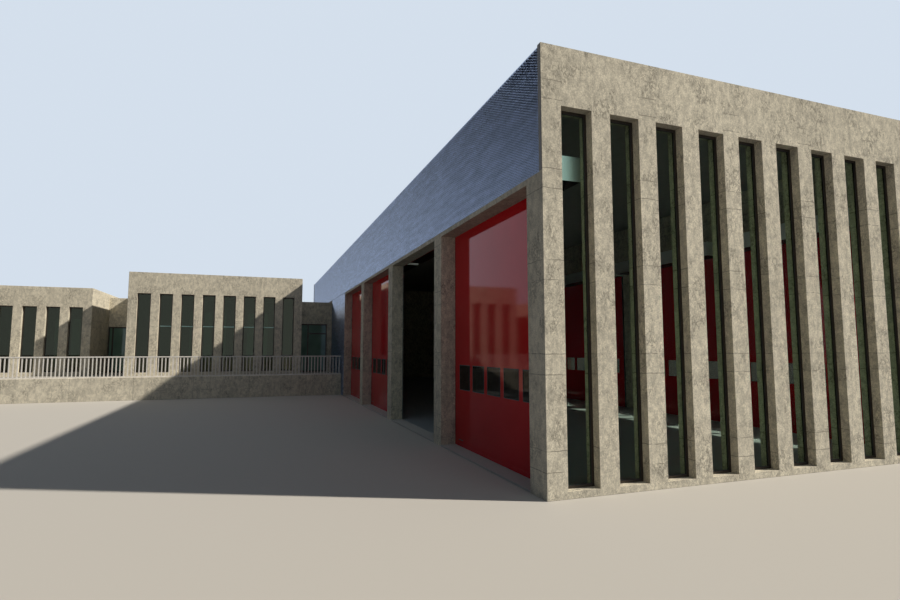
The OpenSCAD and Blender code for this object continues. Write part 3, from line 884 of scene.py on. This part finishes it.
pane_edge = Vector((0.010, 0, 0.010))
pane_gasket_w = 0.018
pane_gasket_d = 0.004
middle_y = (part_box("hall_floor")[0].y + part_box("hall_floor")[1].y) / 2
grown_panes = [(low - pane_edge, high + pane_edge) for low, high in solids("door_panes")]
edge_all("front_pane_gaskets", [pane for pane in grown_panes if pane[0].y < middle_y],
         1, -1, pane_gasket_w, pane_gasket_d, rubber)
edge_all("back_pane_gaskets", [pane for pane in grown_panes if pane[0].y > middle_y],
         1, 1, pane_gasket_w, pane_gasket_d, rubber)

slot_from_left = 0.31
slot_w = 0.30
slot_rows = ((0.192, 0.212), (0.110, 0.120))
slot_d = 0.010
slot_edge = 0.002
slots = []
for door_name in ("door_1", "door_3", "door_4"):
    door_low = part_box(door_name)[0]
    for slot_low, slot_high in slot_rows:
        slots.append(start_cube(
            "slot", Vector((door_low.x + slot_from_left, door_low.y, slot_low)),
            Vector((door_low.x + slot_from_left + slot_w, door_low.y + slot_d, slot_high))))
slot_piece = join(slots, "door_slots")
ease_edges(slot_piece, slot_edge, segments=1)
finish(slot_piece, rubber)


# Door casings and guides: folded bright sheet round the rolls over the bays, with painted shade on
# its undersides, and dark channels screwed on beside the bays.
# Painted shade for the undersides of the casings
casing_underside_shade = (0.03, 0.014, 0.012, 1)
casing_bright, casing_tree, casing_shader = new_material(
    "casing_sheet", Metallic=1.0, Roughness=0.5
)
casing_place = add_node(casing_tree, "ShaderNodeTexCoord")
casing_colour = mottled(casing_tree, casing_place, (0.92, 0.95, 0.97, 1), (0.97, 0.99, 1.0, 1),
                        size=2.0, detail=4.0, low=0.3, high=0.7)
# Painted shade on the undersides of the casings
casing_tree.links.new(
    blend_colour(casing_tree, underside_mask(casing_tree, casing_place), casing_colour,
                 casing_underside_shade),
    casing_shader.inputs["Base Color"],
)
dress(["door_casings"], casing_bright)
guide_dark = mottled_material(
    "guide_channel", (0.06, 0.06, 0.065, 1), (0.11, 0.11, 0.12, 1),
    size=8.0, detail=4.0, low=0.3, high=0.7, Metallic=0.7, Roughness=0.4,
)[0]
dress(["door_guides"], guide_dark)


# Floors and roofs: a bluish coated floor in the hall that is bare outside the doors, plain
# slabs in the wing and on the terrace, and grey roofing sheets in strips, each lapped over the
# next and turned up at the walls.
bare_slab = (0.46, 0.43, 0.38, 1)
bare_slab_roughness = 0.85


def slab_material(name, pale, dark, roughness, speckle_size, coated=None):
    """A floor or roof surface; past the coated span along Y it is bare concrete."""
    material, tree, shader = new_material(name)
    spot = add_node(tree, "ShaderNodeTexCoord").outputs["Object"]
    surface = put_group(
        tree, mineral,
        {"Vector": spot, "Blotch Size": 0.6, "Fall": 1.0, "Speckle Size": speckle_size},
    )
    share = math_node(
        tree, "ADD", remap(tree, surface.outputs["Blotches"], 0.3, 0.7, 0.0, 0.6),
        remap(tree, surface.outputs["Speckle"], 0.3, 0.7, 0.0, 0.4),
    )
    colour = blend_colour(tree, share, dark, pale)
    shine = remap(tree, surface.outputs["Blotches"], 0.3, 0.7, roughness, roughness + 0.15)
    if coated:
        y = add_node(tree, "ShaderNodeSeparateXYZ", {0: spot}).outputs["Y"]
        inside = near(tree, y, sum(coated) / 2, (coated[1] - coated[0]) / 2, 0.005)
        bare = blend_colour(tree, 0.25, bare_slab, colour)
        colour = blend_colour(tree, inside, bare, colour)
        shine = remap(tree, inside, 0.0, 1.0, bare_slab_roughness, shine)
    tree.links.new(colour, shader.inputs["Base Color"])
    tree.links.new(shine, shader.inputs["Roughness"])
    bump = add_node(
        tree, "ShaderNodeBump",
        {"Height": surface.outputs["Speckle"], "Strength": 0.2, "Distance": 0.003},
    )
    tree.links.new(bump.outputs[0], shader.inputs["Normal"])
    return material


door_faces = (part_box("door_1")[0].y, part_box("back_doors")[1].y)
dress(["hall_floor"], slab_material(
    "hall_floor", (0.36, 0.40, 0.42, 1), (0.28, 0.31, 0.33, 1), roughness=0.30, speckle_size=0.6,
    coated=door_faces))
dress(["wing_floors", "terrace_floor"], slab_material(
    "wing_floor", (0.45, 0.42, 0.36, 1), (0.33, 0.31, 0.27, 1), roughness=0.75, speckle_size=1.0))
roofing = slab_material(
    "roofing", (0.34, 0.33, 0.31, 1), (0.24, 0.235, 0.22, 1), roughness=0.85, speckle_size=2.0
)
dress(["hall_roof", "office_roof", "annex_roof", "link_roofs"], roofing)

sheet_w = 1.0
sheet_lap = 0.08
sheet_t = 0.005
sheet_edge = 0.0015
sheet_lift = 0.006
turn_up = 0.06
turn_up_t = 0.008


def roof_sheets(name, slabs):
    """Strips across each roof slab, each lapped over the next, and a turned up edge round them."""
    strips = []
    for low, high in slabs:
        inner_low = Vector((low.x + turn_up_t, low.y + turn_up_t, high.z))
        inner_high = Vector((high.x - turn_up_t, high.y - turn_up_t, high.z + sheet_t))
        run = inner_high.x - inner_low.x - sheet_lap
        count = round(run / sheet_w)
        right = inner_low.x + run / count + sheet_lap
        strip = start_cube("strip", inner_low, Vector((right, inner_high.y, inner_high.z)))
        ease_edges(strip, sheet_edge, segments=1)
        select_only(strip, lambda co: co.x > right - sheet_lap)
        bpy.ops.transform.translate(value=(0, 0, sheet_lift))
        bpy.ops.object.mode_set(mode="OBJECT")
        apply_array(strip, (run / count, 0, 0), count)
        strips += [strip, edging(low, high, 2, 1, turn_up_t, turn_up)]
    finish(join(strips, name), roofing)


for roof_name in ("hall_roof", "office_roof", "annex_roof", "link_roofs"):
    roof_sheets(roof_name + "_sheets", solids(roof_name))


# Terrace railing: flat steel bars welded between two rails and painted a warm white, fixed on
# the terrace wall.
rail_paint = mottled_material(
    "railing_paint", (0.66, 0.62, 0.56, 1), (0.76, 0.73, 0.68, 1),
    size=9.0, detail=5.0, low=0.35, high=0.7, Roughness=0.45,
)[0]
dress(["terrace_railing"], rail_paint)
